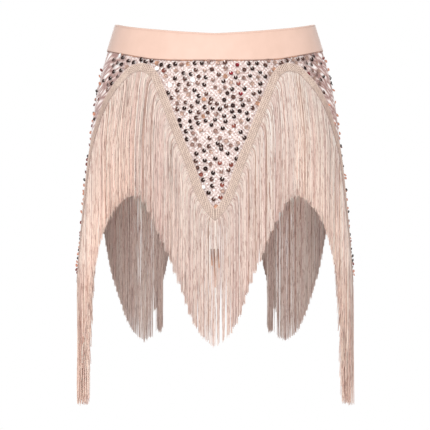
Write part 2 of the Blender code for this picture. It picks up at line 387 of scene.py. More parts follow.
BLACK = (0.0, 0.0, 0.0)
WHITE = (1.0, 1.0, 1.0)


def mix(tree, blend, factor, first, second):
    made = tree.nodes.new("ShaderNodeMix")
    made.data_type = "RGBA"
    made.blend_type = blend
    wire(tree, factor, made.inputs[0])
    wire(tree, first, made.inputs[6])
    wire(tree, second, made.inputs[7])
    return made.outputs[2]


def bump(tree, shader, height, strength, distance):
    made = node(tree, "Bump", Height=height, Strength=strength, Distance=distance)
    tree.links.new(made.outputs["Normal"], shader.inputs["Normal"])


def metres(tree):
    """The piece's UV map, and its two coordinates."""
    chart = tree.nodes.new("ShaderNodeUVMap")
    chart.uv_map = "metres"
    parts = node(tree, "SeparateXYZ", Vector=chart.outputs["UV"])
    return chart.outputs["UV"], parts.outputs["X"], parts.outputs["Y"]


def painted_turn_shade(tree, far):
    """Painted shade: white where a surface faces the eye, and another colour where it turns away."""
    facing = tree.nodes.new("ShaderNodeLayerWeight").outputs["Facing"]
    return ramp(tree, facing, (0.25, WHITE), (0.85, far))


# %% Satin elastic: a smooth peach face with fine ribs and a stitched line near its top edge
RIB_PITCH = 0.0009
STITCH_LINE = 0.0024
STITCH_HALF_WIDTH = 0.0003
STITCH_TINT = (0.58, 0.35, 0.27, 1.0)


def peach_elastic():
    material, tree, shader = new_material("peach_satin_elastic", 0.42, sheen=0.25)
    chart, across, down = metres(tree)
    ribs = wave(tree, across, RIB_PITCH)
    cloudy = node(tree, "TexNoise", Vector=chart, Scale=45.0, Detail=3.0).outputs["Fac"]
    colour = ramp(tree, cloudy, (0.3, (0.66, 0.445, 0.355)), (0.7, (0.70, 0.475, 0.385)))
    from_line = math_node(tree, "ABSOLUTE", math_node(tree, "SUBTRACT", down, STITCH_LINE))
    stitched = math_node(tree, "LESS_THAN", from_line, STITCH_HALF_WIDTH)
    colour = mix(tree, "MIX", scaled(tree, stitched, 0.5), colour, STITCH_TINT)
    # Painted shade: the band darkens where it turns away from the eye
    colour = mix(tree, "MULTIPLY", 1.0, colour, painted_turn_shade(tree, (0.74, 0.71, 0.71)))
    tree.links.new(colour, shader.inputs["Base Color"])
    bump(tree, shader, ribs, 0.12, 0.0002)
    return material


# %% Sequin knit: a pale pink lattice, with painted glints on its loops and painted shade between them
KNIT_PITCH = 0.0062
# Rates of the painted pucker cells to the metre: round the hips, their slant, and down the cloth
CELLS_ROUND = 66.0
CELLS_SLANT = 112.0
CELLS_DOWN = 78.0


def at_hips(tree, across):
    """Black over the front and back, and nearly white at the hips, where the painted pucker light and
    shade shows.
    """
    sideways = math_node(tree, "ABSOLUTE", wave(tree, across, 4 * arc_of(90.0)))
    return ramp(tree, sideways, (0.74, BLACK), (0.92, (0.9, 0.9, 0.9)))


def painted_pucker_light(tree, across, up):
    """Painted light and shade of puckers where the knit is stretched: long slanting cells, light between
    dark pink lines.
    """
    out = scaled(tree, math_node(tree, "ABSOLUTE", across), CELLS_ROUND)
    slant = math_node(tree, "ADD", out, scaled(tree, up, CELLS_SLANT))
    place = node(tree, "CombineXYZ", X=slant, Y=scaled(tree, up, CELLS_DOWN)).outputs["Vector"]
    cells = tree.nodes.new("ShaderNodeTexVoronoi")
    cells.feature = "DISTANCE_TO_EDGE"
    wire(tree, place, cells.inputs["Vector"])
    cells.inputs["Scale"].default_value = 1.0
    stops = ((0.05, (0.27, 0.115, 0.095)), (0.17, (0.58, 0.40, 0.36)), (0.32, (0.93, 0.88, 0.86)))
    return ramp(tree, cells.outputs["Distance"], *stops)


def pale_knit():
    material, tree, shader = new_material("pale_pink_knit", 0.5, sheen=0.3)
    chart, across, up = metres(tree)
    loops = scaled(tree, wave(tree, across, KNIT_PITCH), wave(tree, up, KNIT_PITCH))
    glint_bumps = node(tree, "TexNoise", Vector=chart, Scale=420.0, Detail=2.0).outputs["Fac"]
    height = math_node(tree, "ADD", scaled(tree, loops, 0.10), glint_bumps)
    # Colour by height: the knit's own pale pink, with painted glints on the high loops and painted shade
    # in the low places
    stops = (
        (0.34, (0.40, 0.27, 0.245)),
        (0.46, (0.58, 0.44, 0.405)),
        (0.56, (0.71, 0.59, 0.555)),
        (0.69, (0.95, 0.91, 0.89)),
    )
    colour = ramp(tree, height, *stops)
    # Painted shade: the knit darkens where it turns away from the eye
    colour = mix(tree, "MULTIPLY", 1.0, colour, painted_turn_shade(tree, (0.90, 0.82, 0.79)))
    # At the hips, painted light and shade of the stretched puckers
    colour = mix(tree, "MIX", at_hips(tree, across), colour, painted_pucker_light(tree, across, up))
    tree.links.new(colour, shader.inputs["Base Color"])
    bump(tree, shader, height, 0.5, 0.0005)
    return material


# %% Trims: tan braid and rayon strands, whose own colours vary from one to the next
def tinted_yarn(name, roughness, sheen, pitch, patches, stops):
    """Twisted yarn in its own tints, with darker patches, so many to the metre."""
    material, tree, shader = new_material(name, roughness, sheen=sheen)
    chart, _, along = metres(tree)
    twist = wave(tree, along, pitch)
    tint = node(tree, "VertexColor")
    tint.layer_name = "tint"
    patchy = node(tree, "TexNoise", Vector=chart, Scale=patches, Detail=3.0).outputs["Fac"]
    shade = ramp(tree, patchy, *stops)
    tree.links.new(mix(tree, "MULTIPLY", 1.0, tint.outputs["Color"], shade), shader.inputs["Base Color"])
    bump(tree, shader, twist, 0.35, 0.0003)
    return material


# %% Sequins: metallic cups with a colour for each facet
def sequin_foil():
    material, tree, shader = new_material("sequin_foil", 0.42, metallic=0.7, specular=0.3)
    tint = node(tree, "VertexColor")
    tint.layer_name = "tint"
    tree.links.new(tint.outputs["Color"], shader.inputs["Base Color"])
    return material


elastic = peach_elastic()
knit = pale_knit()
braid_shades = ((0.35, (0.74, 0.70, 0.69)), (0.6, WHITE))
rayon_shades = ((0.37, (0.68, 0.55, 0.52)), (0.47, WHITE))
braid = tinted_yarn("tan_braid", 0.6, sheen=0.2, pitch=0.0016, patches=140.0, stops=braid_shades)
rayon = tinted_yarn("rayon_strand", 0.45, sheen=0.35, pitch=0.0022, patches=70.0, stops=rayon_shades)
foil = sequin_foil()
print("Materials:", ", ".join(m.name for m in (elastic, knit, braid, rayon, foil)))

# %% [markdown]
# ## Waistband
#
# Wide satin elastic is flat and firm, with rounded edges. It is made as a closed profile
# swept round the body, with a shallow groove where its top edge is stitched.

# %% Waistband
BAND_COLUMNS = 360
# Share of the band's height, and distance out from the cloth
BAND_PROFILE = (
    (0.000, -0.0014), (0.000, -0.0002), (0.008, 0.0007), (0.030, 0.0011), (0.070, 0.0011),
    (0.250, 0.0010), (0.500, 0.0010), (0.750, 0.0010), (0.900, 0.0010), (0.922, 0.0009),
    (0.935, 0.0005), (0.948, 0.0009), (0.970, 0.0010), (0.992, 0.0006), (1.000, -0.0002),
    (1.000, -0.0014), (0.985, -0.0016), (0.500, -0.0016), (0.015, -0.0016),
)
round_angles = np.arange(BAND_COLUMNS) * 360.0 / BAND_COLUMNS
band_tops = band_edge(band_top_curve, round_angles)
band_bottoms = band_edge(band_bottom_curve, round_angles)
profile_shares = np.array([share for share, offset in BAND_PROFILE])[:, None]
profile_offsets = np.array([offset for share, offset in BAND_PROFILE])[:, None]
band_heights = band_bottoms + (band_tops - band_bottoms) * profile_shares
band_points = skin(round_angles, band_heights, profile_offsets)
band_uv = np.stack(np.broadcast_arrays(arc_of(round_angles), band_tops - band_heights), axis=-1)
band_faces = grid_faces(len(BAND_PROFILE), BAND_COLUMNS, wrap_rows=True, wrap_columns=True)
waistband = make_piece(
    "waistband_elastic", band_points, band_faces, elastic, ["waistband"], band_uv
)

# %% [markdown]
# The seam that joins the band to the knit shows as a thin shadowed roll under its edge,
# where painted shadow and copper thread take turns. One long thin tube stands for it.

# %% Waist seam
SEAM_RADIUS = 0.00042
SEAM_OUT = 0.0004
SEAM_SIDES = 6
# The dark stretches are painted shadow under the band's edge
SEAM_SHADOW_TINT = (0.33, 0.17, 0.13)
COPPER_THREAD = (0.62, 0.29, 0.16)
seam_angles = np.linspace(0.0, 360.0, BAND_COLUMNS * 2 + 1)
seam_heights = band_edge(band_bottom_curve, seam_angles) - SEAM_RADIUS
seam_path = skin(seam_angles, seam_heights, SEAM_OUT)[None]
seam_radii = np.full((1, len(seam_angles)), SEAM_RADIUS)
seam_points, seam_faces = tubes(seam_path, seam_radii, SEAM_SIDES)
seam_arc = np.repeat(arc_of(seam_angles), SEAM_SIDES)
# Two waves out of step give stretches of uneven length
is_copper = np.sin(seam_arc * 70.0) + np.sin(seam_arc * 213.0) > 0.4
seam_tint = np.where(is_copper[:, None], COPPER_THREAD, SEAM_SHADOW_TINT)
seam_uv = np.stack((np.zeros(len(seam_points)), seam_arc), axis=-1)
make_piece("waist_seam", seam_points, seam_faces, braid, (), seam_uv, seam_tint)

# %% [markdown]
# ## Knit panels
#
# The front and back panels are thin shells that hang from the band and end halfway under
# the braid. Worn knit isn't quite even, so slow troughs less than a millimetre deep run
# down it, with short tension ripples below the elastic and slanting puckers where it is stretched.

# %% Knit panels
SIDE_SEAM = 88.0
HEADER_WIDTH = 0.0118
PANEL_COLUMNS = 420
PANEL_ROWS = 60
CLOTH_THICKNESS = 0.0012
SEAM_GAP = 0.0003
# How far the cloth sinks, and how deep its troughs, ripples and puckers are
CLOTH_SINK = 0.0008
TROUGH_DEPTH = 0.0003
RIPPLE_DEPTH = 0.0002
RIPPLE_REACH = 0.012
PUCKER_DEPTH = 0.0006
PUCKER_SPREAD = 22.0


def relief(arc, height, below_band):
    """How far out the cloth is at a place, with its troughs, ripples and puckers."""
    troughs = np.sin(arc * 61.0 + 9.0 * height) * np.sin(arc * 23.0 - 14.0 * height)
    ripples = np.sin(arc * 410.0) * np.exp(-below_band / RIPPLE_REACH)
    # Counted round the back, so the right half of the front panel has no puckers
    from_side = np.abs(np.abs(angle_of(arc) - 180.0) - 90.0)
    puckers = np.sin(np.abs(arc) * 640.0 + 380.0 * height + 2.0 * np.sin(height * 90.0))
    puckers *= np.clip(1.6 - from_side / PUCKER_SPREAD, 0.0, 1.0)
    return -CLOTH_SINK + TROUGH_DEPTH * troughs + RIPPLE_DEPTH * ripples + PUCKER_DEPTH * puckers


def make_panel(name, start, end, nodes):
    """A thin shell from the band to halfway under the braid, closed along every edge."""
    angles = np.linspace(start, end, PANEL_COLUMNS)
    top = band_edge(band_bottom_curve, angles) - SEAM_GAP
    hem = inside_hem(angles, HEADER_WIDTH / 2)
    share = np.linspace(0.0, 1.0, PANEL_ROWS)[:, None]
    heights = top + (hem - top) * share
    outer = relief(arc_of(angles), heights, top - heights)
    outside = skin(angles, heights, outer)
    inside = skin(angles, heights, outer - CLOTH_THICKNESS)
    points = np.concatenate((outside, inside[::-1]))
    uv = np.stack(np.broadcast_arrays(arc_of(angles), heights), axis=-1)
    uv = np.concatenate((uv, uv[::-1]))
    faces = grid_faces(2 * PANEL_ROWS, PANEL_COLUMNS, wrap_rows=True)
    rows = np.arange(PANEL_ROWS - 1)
    mirrored = 2 * PANEL_ROWS - 1 - rows
    for column in (0, PANEL_COLUMNS - 1):
        ring = np.stack((rows, rows + 1, mirrored - 1, mirrored), axis=1)
        faces = np.concatenate((faces, ring * PANEL_COLUMNS + column))
    return make_piece(name, points, faces, knit, nodes, uv)


half_gap = angle_of(arc_of(SIDE_SEAM) + SEAM_GAP / 2) - SIDE_SEAM
front_cloth = make_panel("front_cloth", -SIDE_SEAM + half_gap, SIDE_SEAM - half_gap, ["front_panel"])
back_cloth = make_panel("back_cloth", SIDE_SEAM + half_gap, 360.0 - SIDE_SEAM - half_gap, ["back_panel"])

# %% [markdown]
# ## Sequins
#
# Cup sequins are small faceted foil dishes, each sewn on through its middle. At a distance
# a cup shows as a dark disc with one bright wedge, where its facets mirror a lamp; here the
# wedge is a painted highlight in the facet colours. They are scattered with a least distance
# between them, and now and then two touch, because that is how such cloth is stitched. On the
# stretched knit of each side few show, mostly in one column, and they turn their faces partly
# to the front.

# %% Scattering sequins over the knit
SEQUIN_RADIUS = 0.0030
LEAST_ACROSS = 0.0094
LEAST_DOWN = 0.0073
SCATTER_TRIES = 60000
SCATTER_HEIGHTS = (-0.34, -0.012)
FROM_BAND = 0.0022
FROM_BRAID = 0.0012
# The sides, in degrees from the front, and the share of their sequins that is left out
SIDE_FROM = 62.0
SIDE_TO = 112.0
LEFT_OUT = 0.985
# Spacing at the back, and that of the few which touch, as shares of the least distance
BACK_SPREAD = 1.08
TOUCHING_SPREAD = 0.55
TOUCHING_SHARE = 0.004
# The column down each side, which is close-set in its lowest part
COLUMN_TOP = -0.045
CROWDED_BELOW = -0.262
COLUMN_BOTTOM = -0.326
COLUMN_STEPS = (0.008, 0.020)
CROWDED_STEPS = (0.004, 0.007)
COLUMN_SPREAD = 3.0
rng = np.random.default_rng(7)


def from_front(angles):
    return np.abs(np.mod(angles + 180.0, 360.0) - 180.0)


def at_side(angles):
    """Where the cloth turns away at the sides, and fewer sequins are sewn."""
    return (from_front(angles) > SIDE_FROM) & (from_front(angles) < SIDE_TO)


def side_columns():
    """Arcs and heights of the sequins down the middle of each side."""
    column = []
    for side in (90.0, 270.0):
        height = COLUMN_TOP
        while height > COLUMN_BOTTOM:
            column.append((arc_of(side + rng.uniform(-COLUMN_SPREAD, COLUMN_SPREAD)), height))
            steps = COLUMN_STEPS if height > CROWDED_BELOW else CROWDED_STEPS
            height -= rng.uniform(*steps)
    return column


def scatter_sequins():
    """Arcs and heights of sequins on the bare knit, at least a set distance apart."""
    tries_arc = rng.uniform(arc_of(FIRST_PEAK), arc_of(LAST_PEAK), SCATTER_TRIES)
    tries_height = rng.uniform(*SCATTER_HEIGHTS, SCATTER_TRIES)
    angles = angle_of(tries_arc)
    below_band = tries_height < band_edge(band_bottom_curve, angles) - FROM_BAND
    above_braid = tries_height > inside_hem(angles, HEADER_WIDTH + FROM_BRAID)
    sparse = at_side(angles) & (rng.random(SCATTER_TRIES) < LEFT_OUT)
    usable = below_band & above_braid & ~sparse
    back_reach = arc_of(180.0) - arc_of(SIDE_TO)
    cells = {}
    kept = []
    for arc, height in zip(tries_arc[usable] / LEAST_ACROSS, tries_height[usable] / LEAST_DOWN):
        column, row = int(arc // 1), int(height // 1)
        near = []
        for i in (-1, 0, 1):
            for j in (-1, 0, 1):
                near += cells.get((column + i, row + j), [])
        at_back = abs(arc * LEAST_ACROSS - arc_of(180.0)) < back_reach
        usual = BACK_SPREAD if at_back else 1.0
        closest = TOUCHING_SPREAD if rng.random() < TOUCHING_SHARE else usual
        if all(math.hypot(arc - x, height - y) > closest for x, y in near):
            cells.setdefault((column, row), []).append((arc, height))
            kept.append((arc * LEAST_ACROSS, height * LEAST_DOWN))
    return np.array(kept + side_columns()).T


# %% Cup sequins
FACETS = 16
SPOKE_TURNS = (np.arange(FACETS) + 0.5) * 2 * math.pi / FACETS
# Colour and how common it is, in the photograph's mix
# Besides the foils' own colours, the near-black ones are painted dark reflections and the white one a
# painted glint
SEQUIN_COLOURS_AND_REFLECTIONS = (
    ((0.026, 0.011, 0.009), 0.38), ((0.085, 0.040, 0.031), 0.23), ((0.24, 0.145, 0.12), 0.12),
    ((0.37, 0.245, 0.20), 0.12), ((0.42, 0.225, 0.15), 0.06), ((0.19, 0.055, 0.04), 0.04),
    ((0.20, 0.015, 0.022), 0.03), ((1.0, 1.0, 1.0), 0.02),
)
SIDE_COLOURS = (((0.55, 0.25, 0.17), 0.40), ((0.20, 0.04, 0.03), 0.25), ((0.03, 0.018, 0.015), 0.35))
# Sequins at the sides are smaller, lean more and turn partly to the front
USUAL_LEAN = 0.16
SIDE_LEAN = 0.30
SIDE_TURN = 0.9
SIDE_SHRINK = 0.22
SIZE_RANGE = (0.92, 1.06)
OUT_RANGE = (0.0008, 0.0016)
NUDGE = 0.001
# Rings of a cup: how far out from its middle, and how high, as shares of its radius
CUP = ((0.10, 0.03), (0.45, 0.0), (1.0, 0.16))
# The painted highlight wedge: its colour, how much each ring shows of it, and its fading to the sides
PAINTED_WEDGE = (0.74, 0.64, 0.60)
WEDGE_RINGS = (0.6, 1.0, 0.9)
WEDGE_FADE = 0.23


def pick_colours(table, count, draws):
    """Colours from a table of colours and of how common each is."""
    chosen = draws.choice(len(table), count, p=[share for colour, share in table])
    return np.array([colour for colour, share in table])[chosen]


def stand_out(heights):
    """How far out side sequins ride: low down they lie over the header."""
    over_edge = 0.0020 * ease((-0.155 - heights) / 0.03)
    over_tip = 0.0011 * ease((-0.285 - heights) / 0.015)
    return over_edge + over_tip - 0.0006


def cup_points(arcs, heights, side):
    """The middle of each cup, and its three rings of points."""
    count = len(arcs)
    angles = angle_of(arcs)
    centre = skin(angles, heights, rng.uniform(*OUT_RANGE, count) + side * stand_out(heights))
    right = unit(skin(angle_of(arcs + NUDGE), heights) - skin(angle_of(arcs - NUDGE), heights))
    up = unit(skin(angles, heights + NUDGE) - skin(angles, heights - NUDGE))
    out = np.cross(right, up)
    lean = np.where(side, SIDE_LEAN, USUAL_LEAN)[:, None]
    lean_right = rng.normal(0.0, 1.0, (count, 1)) * lean
    lean_right += (SIDE_TURN * side * np.sign(centre[:, 0]))[:, None]
    lean_up = rng.normal(0.0, 1.0, (count, 1)) * lean
    leant = (right + out * lean_right, up + out * lean_up, out - right * lean_right - up * lean_up)
    right, up, out = [unit(way) for way in leant]
    spokes = right[:, None] * np.cos(SPOKE_TURNS)[:, None] + up[:, None] * np.sin(SPOKE_TURNS)[:, None]
    cup = np.array(CUP)
    size = SEQUIN_RADIUS * (rng.uniform(*SIZE_RANGE, count) - SIDE_SHRINK * side)
    rings = spokes[:, None] * cup[:, 0, None, None] + out[:, None, None] * cup[:, 1, None, None]
    return centre, centre[:, None, None] + rings * size[:, None, None, None]


def cup_tints(centre, side):
    """A colour for each facet: the cup's own, with a painted highlight wedge in most of them."""
    count = len(centre)
    at_sides = pick_colours(SIDE_COLOURS, count, rng)
    elsewhere = pick_colours(SEQUIN_COLOURS_AND_REFLECTIONS, count, rng)
    base = np.where(side[:, None], at_sides, elsewhere)
    # The painted highlight opens upwards and towards the middle of the piece, as a lamp above the front
    # would show
    opening = 1.25 + 0.75 * np.tanh(centre[:, 0] / 0.03) + rng.normal(0.0, 0.4, count)
    away = np.abs(np.mod(SPOKE_TURNS - opening[:, None] + math.pi, 2 * math.pi) - math.pi)
    painted_shine = np.clip(1.9 - away / WEDGE_FADE, 0.0, 1.0)[:, None, :, None]
    painted_shine = painted_shine * np.array(WEDGE_RINGS)[:, None, None]
    lit = rng.random(count) < np.where(base[:, 0] < 0.2, 0.88, 0.4)
    painted_shine = painted_shine * lit[:, None, None, None]
    uneven = rng.uniform(0.75, 1.25, (count, 1, FACETS, 1))
    return np.clip(base[:, None, None] * uneven * (1 - painted_shine) + np.array(PAINTED_WEDGE) * painted_shine, 0.0, 1.0)


def make_sequins(name, arcs, heights):
    side = at_side(angle_of(arcs))
    centre, points = cup_points(arcs, heights, side)
    tint = np.broadcast_to(cup_tints(centre, side), points.shape)
    one = grid_faces(len(CUP), FACETS, wrap_columns=True)
    starts = np.arange(len(arcs)) * len(CUP) * FACETS
    faces = (one[None] + starts[:, None, None]).reshape(-1, 4)
    return make_piece(name, points, faces, foil, (), None, tint, smooth=False)


sequin_arcs, sequin_heights = scatter_sequins()
on_front = from_front(angle_of(sequin_arcs)) < SIDE_SEAM
front_sequins = make_sequins("front_sequins", sequin_arcs[on_front], sequin_heights[on_front])
back_sequins = make_sequins("back_sequins", sequin_arcs[~on_front], sequin_heights[~on_front])
print("Sequins: %d" % len(sequin_arcs))

# %% [markdown]
# ## Header braid
#
# The fringe is sewn on by its header, a flat braid 12 mm wide. It runs along each flank of
# a point and is mitred at the tip. It is laid out on the flat, by how far along the hem and
# how far inside it a place is, and then wrapped on the body.

# %% Flanks laid out on the flat
STATIONS = 600
SETTLING = 0.010


def flank_line(start, tip, tip_height, curve):
    """Stations from a peak to a tip: length along, arc, height, and the way to the fringe."""
    share = np.linspace(0.0, 1.0, STATIONS)
    arc = arc_of(start + (tip - start) * share)
    height = PEAK_HEIGHT + (tip_height - PEAK_HEIGHT) * curve(share)
    along = np.stack((np.gradient(arc), np.gradient(height)))
    along /= np.hypot(*along)
    to_peak = 1.0 if start > tip else -1.0
    square = np.stack((-along[1] * to_peak, along[0] * to_peak))
    square[1] = -np.abs(square[1])
    square[0] = np.abs(square[0]) * to_peak
    length = np.concatenate(([0.0], np.cumsum(np.hypot(np.diff(arc), np.diff(height)))))
    settled = np.clip(length / SETTLING, 0.0, 1.0)
    square[0] *= settled
    square /= np.hypot(*square)
    return {"length": length, "arc": arc, "height": height, "square": square, "to_peak": to_peak}


def on_flank(line, length, inside):
    """Arc and height of places at lengths along a flank and distances inside the hem."""
    length, inside = np.broadcast_arrays(length, inside)
    arc = np.interp(length, line["length"], line["arc"])
    height = np.interp(length, line["length"], line["height"])
    square_arc = np.interp(length, line["length"], line["square"][0])
    square_height = np.interp(length, line["length"], line["square"][1])
    arc = arc - square_arc * inside
    height = height - square_height * inside
    tip_arc = line["arc"][-1]
    past = (arc - tip_arc) * line["to_peak"] < 0
    mitre = np.interp(inside, line["mitre_inside"], line["mitre_height"])
    return np.where(past, tip_arc, arc), np.where(past, mitre, height)


def flanks_of(point):
    """The two flanks of a point, with the line down its tip where they are mitred."""
    lines = []
    tip = np.array([point.tip])
    for start, curve in ((point.peak, point.flank), (point.next_peak, point.next_flank)):
        line = flank_line(start, point.tip, point.tip_height, curve)
        line["mitre_inside"] = np.linspace(0.0, HEADER_WIDTH, 14)
        line["mitre_height"] = np.array([inside_hem(tip, depth)[0] for depth in line["mitre_inside"]])
        lines.append(line)
    return lines


# %% Braid: a woven tape, a lattice of cords over it and a piping cord along each edge
TAPE_STEP = 0.0025
LATTICE_STEP = 0.0036
LATTICE_REACH = 0.011
LATTICE_INSIDE = (0.0010, 0.0108)
UNDER_OUT = 0.0018
OVER_OUT = 0.0022
CORD_RADIUS = 0.00062
PIPING_RADIUS = 0.00060
PIPING_STEP = 0.002
PIPING_OUT = 0.0018
PIPING_INSIDE = (0.0006, 0.0112)
# Distance inside the hem, and distance out from the cloth
TAPE_PROFILE = (
    (0.0002, 0.0006), (0.0000, 0.0012), (0.0006, 0.0017), (0.0040, 0.0018), (0.0080, 0.0018),
    (0.0112, 0.0017), (0.0118, 0.0012), (0.0116, 0.0006), (0.0060, 0.0004),
)
TAPE_TINT = (0.45, 0.32, 0.27)
LATTICE_TINT = (0.80, 0.655, 0.555)
UNDER_TINT = (0.74, 0.58, 0.50)
PIPING_TINT = (0.74, 0.58, 0.50)
# The piping on the lower edge is darker with a painted shadow line, where the strands start
EDGE_SHADOW_TINT = (0.55, 0.42, 0.36)
# The braid darkens towards the sides with painted shade: by how much, from where and over what width
PAINTED_SIDE_SHADE = (0.24, 0.30, 0.31)
SHADE_FROM = 0.125
SHADE_REACH = 0.03


def tape(line):
    """The woven tape of one flank."""
    length = line["length"][-1]
    stations = np.linspace(0.0, length, int(length / TAPE_STEP))
    inside = np.array([inside for inside, offset in TAPE_PROFILE])[:, None]
    offset = np.array([offset for inside, offset in TAPE_PROFILE])[:, None]
    arc, height = on_flank(line, stations, inside)
    points = skin(angle_of(arc), height, offset)
    faces = grid_faces(len(TAPE_PROFILE), len(stations), wrap_rows=True)
    uv = np.stack(np.broadcast_arrays(stations, inside), axis=-1)
    return points.reshape(-1, 3), faces, uv.reshape(-1, 2), TAPE_TINT


def cords(line, starts, ends, insides, offset, radius, sides, tint):
    """Cords of one radius, from starts to ends along a flank and across the insides."""
    share = np.linspace(0.0, 1.0, len(insides))
    stations = starts[:, None] + (ends - starts)[:, None] * share
    arc, height = on_flank(line, stations, insides)
    paths = skin(angle_of(arc), height, offset)
    points, faces = tubes(paths, np.full(stations.shape, radius), sides)
    uv = np.stack(np.broadcast_arrays(stations, insides + starts[:, None]), axis=-1)
    return points, faces, np.repeat(uv.reshape(-1, 2), sides, axis=0), tint


def braid_parts(line):
    """The tape of one flank, two crossing layers of cords, and a piping cord on each edge."""
    length = line["length"][-1]
    across = np.linspace(*LATTICE_INSIDE, 6)
    starts = np.arange(LATTICE_STEP - LATTICE_REACH, length, LATTICE_STEP)
    ends = starts + LATTICE_REACH
    yield tape(line)
    yield cords(line, starts, ends, across, UNDER_OUT, CORD_RADIUS, 4, UNDER_TINT)
    yield cords(line, ends, starts, across, OVER_OUT, CORD_RADIUS, 4, LATTICE_TINT)
    many = int(length / PIPING_STEP)
    for inside, tint in zip(PIPING_INSIDE, (EDGE_SHADOW_TINT, PIPING_TINT)):
        from_tip = line["arc"] - line["square"][0] * inside - line["arc"][-1]
        end = line["length"][from_tip * line["to_peak"] > 0][-1:]
        yield cords(line, end * 0, end, np.full(many, inside), PIPING_OUT, PIPING_RADIUS, 6, tint)


def make_braid(point):
    parts = []
    for line in flanks_of(point):
        for points, faces, uv, tint in braid_parts(line):
            # Painted shade darkens the braid towards the sides
            sideways = ease((np.abs(points[:, :1]) - SHADE_FROM) / SHADE_REACH)
            parts.append((points, faces, uv, tint * (1 - sideways * PAINTED_SIDE_SHADE)))
    points, faces, uv, tint = join_parts(parts)
    name = point.name.replace("fringe", "braid")
    return make_piece(name, points, faces, braid, [point.name], uv, tint)


braids = [make_braid(point) for point in POINTS]

# %% [markdown]
# ## Fringe
#
# Rayon fringe is a row of soft twisted strands. Each leaves the braid squarely, turns down
# within a few millimetres and hangs straight, and neighbours drift together into locks, so
# that narrow gaps open towards the ends. On a steep flank many strands share little width,
# and they pile up in depth instead. The side points end bluntly. The inner side of each back
# point has a narrow notch and then a square shoulder. Tones change from root to end; at the
# back they are painted light at the top and painted shade towards the ends, inside the skirt.

# %% Strands
STRAND_RADIUS = 0.00056
STRAND_STEPS = 18
STRAND_SIDES = 3
ROOT_INSIDE = 0.0004
TURN_DOWN = 0.0055
# How strands gather: the spacing of locks, how uneven it is, and how strongly they draw in
LOCK_SPACING = 0.0075
LOCK_UNEVENNESS = 0.0055
UNEVEN_SPACING = 0.017
LEAST_GATHER = 0.01
MORE_GATHER = 0.10
TIP_GATHER = 1.3
TIP_REACH = 0.024
# How strands end: level in groups of a dozen or two, and bluntly at the sides
LEVEL_MOST = 0.0085
LEVEL_SHARE = 0.75
LEVEL_FADE = 0.05
UNEVEN_ENDS = 0.0016
BUNDLE_START = -0.30
BUNDLE_FULL = -0.46
BLUNT_END = 0.030
BLUNT_FADE = 0.02
# The inner side of a back point, measured from its tip
NOTCH_PLACE = 0.0115
NOTCH_HALF_WIDTH = 0.0021
NOTCH_RISE = 0.034
NOTCH_SHARE = 0.93
SHOULDER_PLACE = 0.0205
SHOULDER_DROP = 0.022
SHOULDER_WIDTH = 0.008
SHOULDER_RISE = 0.042
SHOULDER_FADE = 0.013
# Painted shade makes strands at the left and right edges darker: by how much, from where, over what
# width
PAINTED_OUTER_SHADE = (0.13, 0.19, 0.21)
OUTER_FROM = 0.184
OUTER_REACH = 0.004
OUTER_STEP = 8
# Colour, and how common it is
STRAND_COLOURS = (
    ((0.95, 0.79, 0.70), 0.38), ((0.89, 0.68, 0.60), 0.34), ((0.80, 0.58, 0.52), 0.15),
    ((0.64, 0.45, 0.40), 0.06), ((0.55, 0.31, 0.22), 0.03), ((0.98, 0.88, 0.81), 0.04),
)


def smooth_noise(at, spacing, seed):
    """A smooth random curve from -1 to 1, whose bumps are about a spacing long."""
    values = np.random.default_rng(seed).uniform(-1.0, 1.0, 512)
    place = np.mod(at / spacing, 511.0)
    i = place.astype(int)
    u = place - i
    u = u * u * (3 - 2 * u)
    return values[i] * (1 - u) + values[i + 1] * u


def strand_lengths(line, root, arc, height, hang, own):
    """How long each strand of a flank is."""
    to_tip = line["length"][-1] - root
    group_middle = (np.floor(root / hang.end_step) + 0.5) * hang.end_step
    group_height = np.interp(group_middle, line["length"], line["height"])
    levelled = np.clip(height - group_height, -LEVEL_MOST, LEVEL_MOST) * LEVEL_SHARE
    levelled *= ease(to_tip / LEVEL_FADE)
    length = hang.drop + levelled + own.normal(0.0, UNEVEN_ENDS, len(root))
    if hang.bundle > 0:
        above_tip = height - line["height"][-1]
        length += above_tip * (1 - ease((above_tip - BLUNT_END) / BLUNT_FADE))
    from_back_peak = abs(line["arc"][0] - arc_of(BACK_PEAK)) < 1e-6
    if from_back_peak:
        from_tip = np.abs(arc - line["arc"][-1])
        in_notch = np.abs(from_tip - NOTCH_PLACE) < NOTCH_HALF_WIDTH
        length -= NOTCH_RISE * in_notch * (own.random(len(root)) < NOTCH_SHARE)
        past = from_tip - SHOULDER_PLACE
        longer = SHOULDER_DROP * ease(1 + past / SHOULDER_WIDTH)
        shorter = -SHOULDER_RISE * np.exp(-past / SHOULDER_FADE)
        length += np.where(past < 0, longer, shorter)
    return length


def lock_drift(line, root, arc, seed):
    """How far round the end of each strand moves, towards the middle of its lock."""
    uneven = LOCK_UNEVENNESS * smooth_noise(arc, UNEVEN_SPACING, seed + 2)
    lock = np.round((arc + uneven) / LOCK_SPACING) * LOCK_SPACING - uneven
    gather = LEAST_GATHER + MORE_GATHER * np.abs(smooth_noise(lock, LOCK_SPACING, seed + 3))
    near_tip = np.exp(-(((line["length"][-1] - root) / TIP_REACH) ** 2))
    drawn = np.maximum(smooth_noise(lock, LOCK_SPACING, seed + 8) - 0.35, 0.0)
    gather += TIP_GATHER * near_tip * drawn
    return (lock - arc) * gather + 0.0005 * smooth_noise(lock, LOCK_SPACING, seed + 4)


